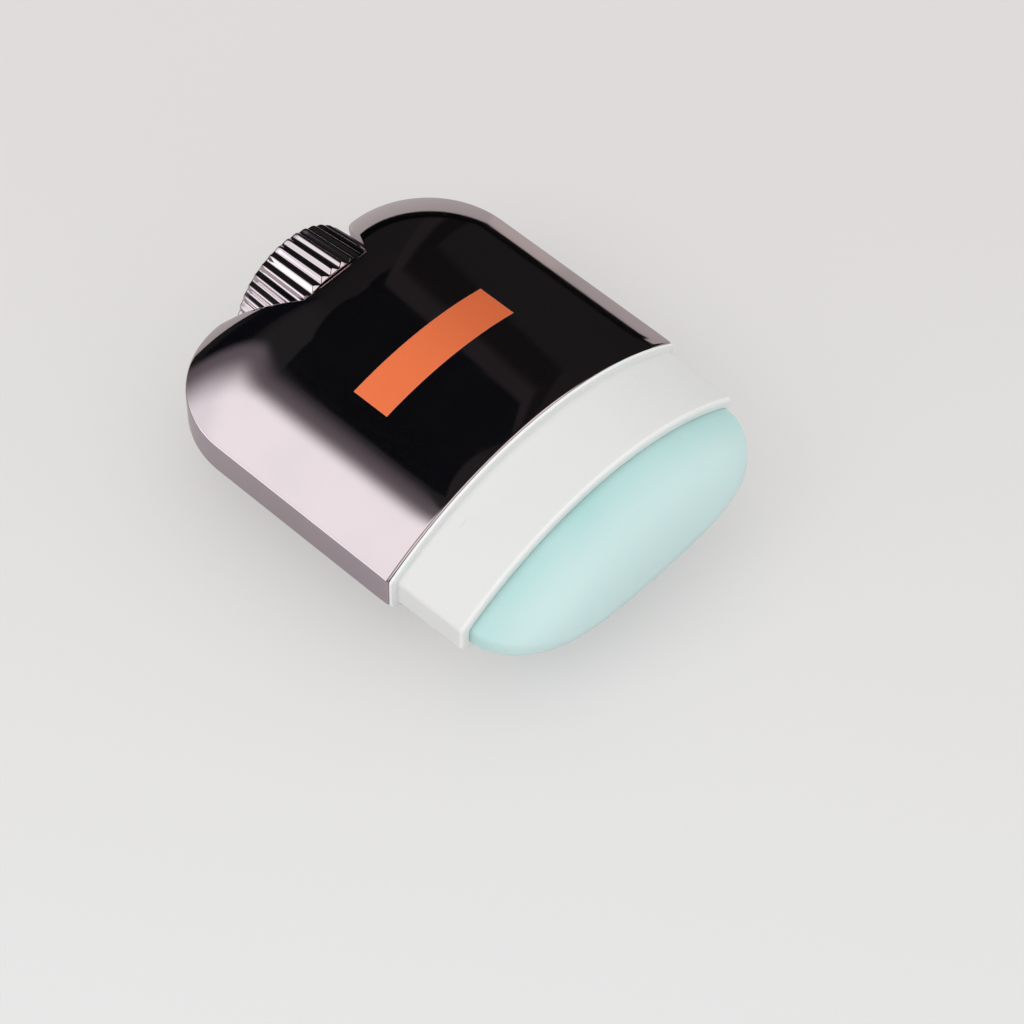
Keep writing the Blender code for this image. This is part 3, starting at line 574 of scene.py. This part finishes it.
satin = finish("white_satin")
whole, _, y, _ = satin.place()
grain = satin.noise(whole, 5200, 2, 0.6)
drift = satin.noise(whole, 70, 2)
flange_line = stick_origin[1] + flange_face - 0.1 * mm
rim_round = stick_origin[1] + rim_fillet - collar_length
# The paler bands along the flange's edge and round the rim are painted highlights.
painted_highlight_bands = y.step(flange_line, flange_line + 0.1 * mm) + y.step(rim_round, rim_round - 0.3 * mm)
body_white = satin.blend(drift, (0.76, 0.765, 0.75, 1), (0.79, 0.79, 0.78, 1))
satin.surface(
    Base_Color=satin.blend(painted_highlight_bands, body_white, (0.90, 0.905, 0.895, 1)),
    Roughness=0.42 + 0.08 * grain,
    Specular_IOR_Level=0.4,
    Subsurface_Weight=0.12,
    Subsurface_Scale=0.001,
    Normal=satin.bump(grain, 0.000006),
)
dressed("collar_barrel", barrel, "case", "white_satin_plastic", satin.owner, "inner_barrel")


# Bar of sunscreen
# A solid stick of wax and oil, pale mint, poured hot into the carrier and domed by its mould. Its
# lens section melts into an ellipse toward the tip; a bore in its back clears the screw.
slide_inset = 2.38 * mm
foot_inset = 3.8 * mm
bar_fillet = 0.8 * mm
foot_fillet = 0.3 * mm
shoulder = 12.15 * mm
dome_height = 8.6 * mm
foot_end = 12.7 * mm
foot_step = 9.7 * mm
screw_bore = 4.0 * mm
screw_bore_end = -4.2 * mm
dome_lead = 0.4 * mm
bar_shares = np.linspace(0, 1, 81)


def dome(loop, rise):
    """The bar's end at shares v of the dome's height: width and thickness shrink by their own
    powers, (1 - v^1.54)^(1/4.15) and (1 - v^1.71)^(1/1.8), while the lens loop melts into an
    ellipse by 3v² - 2v³."""
    v = rise[:, None]
    melt = smooth(v)
    reach = np.hypot(loop[:, 0] / np.abs(loop[:, 0]).max(), loop[:, 2] / np.abs(loop[:, 2]).max())
    grow = 1 - melt + melt / reach
    x = (1 - v**1.54) ** (1 / 4.15) * loop[:, 0] * grow
    z = (1 - v**1.71) ** (1 / 1.8) * loop[:, 2] * grow
    return np.stack([x, np.broadcast_to(-shoulder - dome_height * v, x.shape), z], -1)


body = lens_loop(slide_inset, 0, bar_fillet, bar_shares)
foot = lens_loop(foot_inset, foot_end, foot_fillet, bar_shares)
back = [
    foot * 0 + [0, screw_bore_end, 0],
    to_circle(foot, screw_bore, screw_bore_end),
    to_circle(foot, screw_bore, foot_end),
    foot,
    foot - [0, foot_end - foot_step, 0],
    *(body + [0, y, 0] for y in np.linspace(foot_step, -shoulder + dome_lead, 14)),
]
rise = np.sin(np.linspace(0, np.pi / 2, 90))
bar = Skin()
bar.sheet(np.concatenate([np.stack(back), dome(body, rise)]), True)

mint = finish("mint_wax")
whole, _, y, _ = mint.place()
cloud = mint.noise(whole, 60, 3)
pore = mint.noise(whole, 1500, 3, 0.6)
# The mint is a deeper teal by the collar's rim and paler toward the tip: painted shade at the rim
# and painted sheen beyond it.
from_rim = float(stick_origin[1] - collar_length) - y
painted_sheen_away_from_rim = from_rim.step(-0.5 * mm, 6.5 * mm)
mint_with_painted_shade_and_sheen = mint.blend(painted_sheen_away_from_rim, (0.415, 0.69, 0.66, 1), (0.63, 0.81, 0.80, 1))
tone = mint.blend(cloud.step(0.3, 0.7) * 0.3, mint_with_painted_shade_and_sheen, (0.66, 0.83, 0.82, 1))
mint.surface(
    Base_Color=tone,
    Roughness=0.44 + 0.1 * pore,
    Subsurface_Weight=0.5,
    Subsurface_Radius=(0.8, 1.2, 1.1),
    Subsurface_Scale=0.002,
    Normal=mint.bump(pore, 0.000015),
)
dressed("domed_bar", bar, "bar", "mint_sunscreen", mint.owner, "sunscreen_bar")


# Knob shell
# Plated ABS like the casing, moulded with 38 rounded ridges that taper toward its flat end. Their
# inner ends are cut off by a cone, and the shell is pressed over the core's band.
flutes = 38
knob_radius = 10.1 * mm
knob_draft = 0.7 * mm
knob_round = 0.7 * mm
knob_start = pocket_floor + 0.1 * mm
knob_end = case_length - 0.25 * mm
knob_hollow = 7.95 * mm
knob_end_wall = 1.1 * mm
flute_depth = 0.44 * mm
end_cone = 0.42 * mm
turns = np.linspace(0, 2 * np.pi, flutes * 16, endpoint=False)


def fluted(y, radius, depth, cone=1):
    """A loop round the knob: radius less depth in the valleys, and ridges between them that follow
    (28 - 27 cos a - cos 3a) / 56, a cosine wave with its flanks drawn straighter. What stands
    outside the radius cone is cut off."""
    wave = flutes * turns
    ridge = (28 - 27 * np.cos(wave) - np.cos(3 * wave)) / 56
    reach = np.minimum(radius - depth * (1 - ridge), cone)
    return np.stack([reach * np.cos(turns), np.full(len(turns), y), reach * np.sin(turns)], -1)


taper = knob_draft / (knob_end - knob_start)
rings = []
for y in knob_start + np.linspace(0, end_cone, 9):
    shrunk = knob_radius - taper * (y - knob_start)
    rings.append(fluted(y, shrunk, flute_depth, knob_radius - end_cone + y - knob_start))
for y in np.linspace(knob_start + end_cone, knob_end - knob_round, 12)[1:]:
    rings.append(fluted(y, knob_radius - taper * (y - knob_start), flute_depth))
top = knob_radius - knob_draft
for a in np.linspace(0, np.pi / 2, 9)[1:]:
    rings.append(
        fluted(
            knob_end - knob_round + knob_round * np.sin(a),
            top - knob_round + knob_round * np.cos(a),
            flute_depth * np.cos(a),
        )
    )
round_loop = rings[-1]
rings.append(round_loop * [0, 1, 0])
inside = [
    to_circle(round_loop, 0, knob_end - knob_end_wall),
    to_circle(round_loop, knob_hollow, knob_end - knob_end_wall),
    to_circle(round_loop, knob_hollow, knob_start),
]
knob = Skin()
knob.sheet(np.stack(rings), True)
knob.sheet(np.stack([*inside, rings[0]]), True)

knob_plating = finish("knob_plating")
colour, rough, normal, _ = plate(knob_plating, (0.60, 0.53, 0.56, 1), (0.57, 0.50, 0.53, 1))
knob_plating.surface(Base_Color=colour, Metallic=1.0, Roughness=rough, Normal=normal)
dressed("fluted_knob", knob, "knob", "rose_chrome_plating", knob_plating.owner, "knob_shell")


# Inner pieces
# Carrier, screw, bush, washer, seal, clip and knob core stay as packed. Each gets its own moulded,
# rubber or blanked-steel finish, with the fine grain of its making.
def moulded(name, light, dark, rough, grain_scale):
    """A plain moulding: a slow drift in its colour and a fine grain in its gloss."""
    tree = finish(name)
    whole = tree.place()[0]
    grain = tree.noise(whole, grain_scale, 3, 0.6)
    tree.surface(
        Base_Color=tree.blend(tree.noise(whole, 120, 2), light, dark),
        Roughness=rough + 0.12 * grain,
        Normal=tree.bump(grain, 0.00001),
    )
    return tree.owner


acetal = moulded("ivory_acetal", (0.80, 0.79, 0.73, 1), (0.74, 0.73, 0.68, 1), 0.32, 2500)
natural = moulded(
    "natural_polypropylene", (0.83, 0.84, 0.83, 1), (0.78, 0.79, 0.785, 1), 0.4, 2000
)
core_white = moulded("core_white", (0.86, 0.86, 0.84, 1), (0.82, 0.82, 0.80, 1), 0.38, 2500)
rubber = moulded("greased_silicone", (0.13, 0.13, 0.14, 1), (0.09, 0.09, 0.10, 1), 0.45, 3000)
steel = finish("blanked_steel")
brushed = steel.node(
    "ShaderNodeVectorMath", {"operation": "MULTIPLY"}, [steel.place()[0], (1, 1, 14)]
)
lines = steel.noise(Wire(steel, brushed.outputs[0]), 900, 3)
steel.surface(
    Base_Color=steel.blend(lines, (0.50, 0.50, 0.51, 1), (0.62, 0.62, 0.63, 1)),
    Metallic=1.0,
    Roughness=0.24 + 0.15 * lines,
)
for node, material in {
    "carrier": natural,
    "lead_screw": acetal,
    "knob_bush": acetal,
    "thrust_washer": acetal,
    "knob_core": core_white,
    "spindle_o_ring": rubber,
    "spindle_clip": steel.owner,
}.items():
    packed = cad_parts[node]
    for index in range(len(packed.material_slots)):
        packed.material_slots[index].material = material


# Photo table
# A sheet of pale grey paper under soft studio light, seen from above on the bar's left. Mirrors see
# a smaller copy of the sheet, painted darker as painted shade, and round it a dark room with a soft
# box.
def board(name, low, high, height, material):
    """A flat sheet between two corners."""
    x0, y0 = low
    x1, y1 = high
    corners = [(x0, y0, height), (x1, y0, height), (x1, y1, height), (x0, y1, height)]
    mesh = bpy.data.meshes.new(name)
    mesh.from_pydata(corners, [], [(0, 1, 2, 3)])
    mesh.materials.append(material)
    made = bpy.data.objects.new(name, mesh)
    bpy.context.scene.collection.objects.link(made)
    return made


look_ahead = (0.745, 0.667)
patch_slope = 0.47


def toothed(name, near, far, patch, glow):
    """Paper with a fine tooth: its near colour on the camera's side, its far colour behind, and a
    patch in a slanted band on the right, between two lines of slope patch_slope. The fade from near
    to far is painted shade where the light falls off.

    Of the colour that the camera sees, the share glow is given off by the paper itself, and the
    rest is lit.
    """
    tree = finish(name)
    whole, x, y, _ = tree.place()
    tooth = tree.noise(whole, 900, 3, 0.6)
    # Darker away from the camera: painted shade where the light falls off.
    depth = (look_ahead[0] * x + look_ahead[1] * y).step(-120 * mm, 80 * mm)
    colour = tree.blend(depth + 0.06 * tooth, near, far)
    band = y - patch_slope * x
    patched = band.step(-6 * mm, -2 * mm) * band.step(12.5 * mm, 10.5 * mm)
    colour = tree.blend(patched * x.step(70 * mm, 80 * mm), colour, patch)
    camera_sees = Wire(tree, tree.node("ShaderNodeLightPath").outputs["Is Camera Ray"])
    black = (0, 0, 0, 1)
    tree.surface(
        Base_Color=tree.blend(camera_sees * glow, colour, black),
        Emission_Color=tree.blend(camera_sees * glow, black, colour),
        Emission_Strength=0.93,
        Roughness=0.75,
        Specular_IOR_Level=0.25,
    )
    return tree.owner


far_paper = (0.755, 0.735, 0.72, 1)
pale = toothed("pale_paper", (0.825, 0.825, 0.824, 1), far_paper, far_paper, 0.56)
# The mirrors' copy of the paper is painted darker than the camera's, as painted shade; its patch is
# a lighter zone of painted light.
grey = toothed(
    "paper_with_painted_shade", (0.60, 0.58, 0.63, 1), (0.52, 0.49, 0.47, 1), (0.62, 0.565, 0.53, 1), 0
)
board("paper_sheet", (-6, -6), (6, 6), -0.0001, pale).visible_glossy = False
mirrored_sheet = board("mirrored_sheet", (-0.16, -0.16), (0.21, 0.115), 0, grey)
mirrored_sheet.visible_camera = False
mirrored_sheet.visible_diffuse = False
mirrored_sheet.visible_shadow = False

picture_width = 1024
focal_pixels = 3450.508
look_azimuth, look_elevation, look_roll = np.radians([-48.155, 53.834, 1.551])
look_shift = (-2.324 * mm, 1.336 * mm)
look_distance = 424.196 * mm
look_centre = 10.64 * mm
back = np.array(
    [
        np.sin(look_azimuth) * np.cos(look_elevation),
        -np.cos(look_azimuth) * np.cos(look_elevation),
        np.sin(look_elevation),
    ]
)
level = np.cross([0, 0, 1], back)
level /= np.linalg.norm(level)
upright = np.cross(back, level)
right = np.cos(look_roll) * level + np.sin(look_roll) * upright
up = np.cos(look_roll) * upright - np.sin(look_roll) * level
spot = back * look_distance + right * look_shift[0] + up * look_shift[1]
spot += stick_origin - [0, 0, look_centre]
camera = bpy.data.objects.new("photo_camera", bpy.data.cameras.new("photo_camera"))
camera.data.sensor_width = 36
camera.data.lens = focal_pixels * camera.data.sensor_width / picture_width
camera.data.clip_start = 0.01
camera.data.clip_end = 50
turned = np.eye(4)
turned[:3, :3] = np.stack([right, up, back], -1)
turned[:3, 3] = spot
camera.matrix_world = Matrix(turned.tolist())
bpy.context.scene.collection.objects.link(camera)
bpy.context.scene.camera = camera


def soft_lamp(name, azimuth, elevation, distance, size, power):
    """A square lamp that faces the stick from a direction given in degrees."""
    lamp = bpy.data.lights.new(name, "AREA")
    lamp.size = size
    lamp.energy = power
    made = bpy.data.objects.new(name, lamp)
    a, e = np.radians([azimuth, elevation])
    away = np.array([np.cos(a) * np.cos(e), np.sin(a) * np.cos(e), np.sin(e)])
    one = np.cross([0, 0, 1], away)
    one /= np.linalg.norm(one)
    turned = np.eye(4)
    turned[:3, :3] = np.stack([one, np.cross(away, one), away], -1)
    turned[:3, 3] = away * distance
    made.matrix_world = Matrix(turned.tolist())
    made.visible_glossy = False
    bpy.context.scene.collection.objects.link(made)
    return made


soft_lamp("left_softbox", 162, 38, 0.9, 0.55, 1.9)

room = Tree(bpy.data.worlds.new("studio_room"))
bpy.context.scene.world = room.owner
ray = room.node("ShaderNodeLightPath")
seen = Wire(room, ray.outputs["Is Camera Ray"])
mirrored = Wire(room, ray.outputs["Is Glossy Ray"])
heading = Wire(room, room.node("ShaderNodeTexCoord").outputs["Generated"])
split = room.node("ShaderNodeSeparateXYZ", None, [heading])
x, y, z = (Wire(room, split.outputs[i]) for i in range(3))
turn = y.math("ARCTAN2", x) * (180 / np.pi)
lift = z.math("ARCSINE") * (180 / np.pi)

# What mirrors see, by direction: turn is in degrees from +x toward +y and lift in degrees above the
# table. First the dark walls: a paler one high behind, a bluish one below it, and two upright bands
dark_wall = (0.0155, 0.0150, 0.0157, 1)
high_wall = turn.step(60, 74) * lift.step(28, 36)
tone = room.blend(high_wall, dark_wall, (0.0215, 0.0215, 0.0225, 1))
low_wall = turn.step(60, 67) * turn.step(92, 86) * lift.step(29, 24) * lift.step(-2, 3)
tone = room.blend(low_wall, tone, (0.0045, 0.0055, 0.0075, 1))
tone = room.blend(turn.step(28.6, 29.6) * turn.step(38, 34), tone, (0.008, 0.0075, 0.0075, 1))
tone = room.blend(turn.step(34, 36.5) * turn.step(40.6, 39.6), tone, (0.0215, 0.02, 0.0205, 1))

# The soft box on the left, the glow round it, and the black card that cuts into it
top = lift - 0.62 * turn + 22
side = turn - 5 * (lift.math("MAXIMUM", 0) / 44).math("POWER", 5)
glow = room.blend(top.step(13, 4), (0.05, 0.046, 0.052, 1), (0.16, 0.145, 0.155, 1))
tone = room.blend(side.step(85, 92), tone, glow)
low_edge = lift + 0.6 * (82 - turn).math("MAXIMUM", 0)
skew = turn - 1.1 * lift
card = turn.step(40, 41) * skew.step(45.4, 44.2) * low_edge.step(60.2, 61.4)
tone = room.blend(card * lift.step(69.6, 68.8), tone, (0.0036, 0.0042, 0.0056, 1))
softbox = side.step(92, 116) * turn.step(174, 160) * top.step(5.5, -6) * lift.step(-1.5, 0)
bright = room.blend(lift.step(41, 28), (1.385, 1.415, 1.395, 1), (1.2, 1.22, 1.22, 1))
bright = room.blend(lift.step(22, 12) * turn.step(120, 135), bright, (2.1, 2.1, 2.1, 1))
tone = room.blend(softbox, tone, bright)

# A warm panel in front, the black gap between the walls and the table, and the table's far part
front = turn.step(-145, -130) * turn.step(-35, -50) * lift.step(17, 22) * lift.step(50, 42)
tone = room.blend(front, tone, (1.4, 1.33, 1.25, 1))
low_gap = lift.step(1.1, -0.7) * turn.step(75, 65) * turn.step(-10, 0)
tone = room.blend(low_gap, tone, (0.003, 0.003, 0.0033, 1))
beyond = turn.step(22.05, 21.65) * turn.step(-20, -10) * lift.step(-1.4, -2.4)
tone = room.blend(beyond, tone, (0.5, 0.48, 0.475, 1))

# What everything else is lit by, a pale dome that is brighter above and toward the front right,
# and what the camera sees behind the table
fill = z.step(0, 1) + 0.3 * (0.6 * x - 0.8 * y)
dome = room.blend(fill, (0.42, 0.42, 0.425, 1), (1.11, 1.11, 1.11, 1))
tone = room.blend(mirrored, dome, tone)
tone = room.blend(seen, tone, (0.78, 0.775, 0.77, 1))
room.join(tone, room.nodes["Background"].inputs["Color"])

bpy.context.scene.view_settings.view_transform = "Standard"
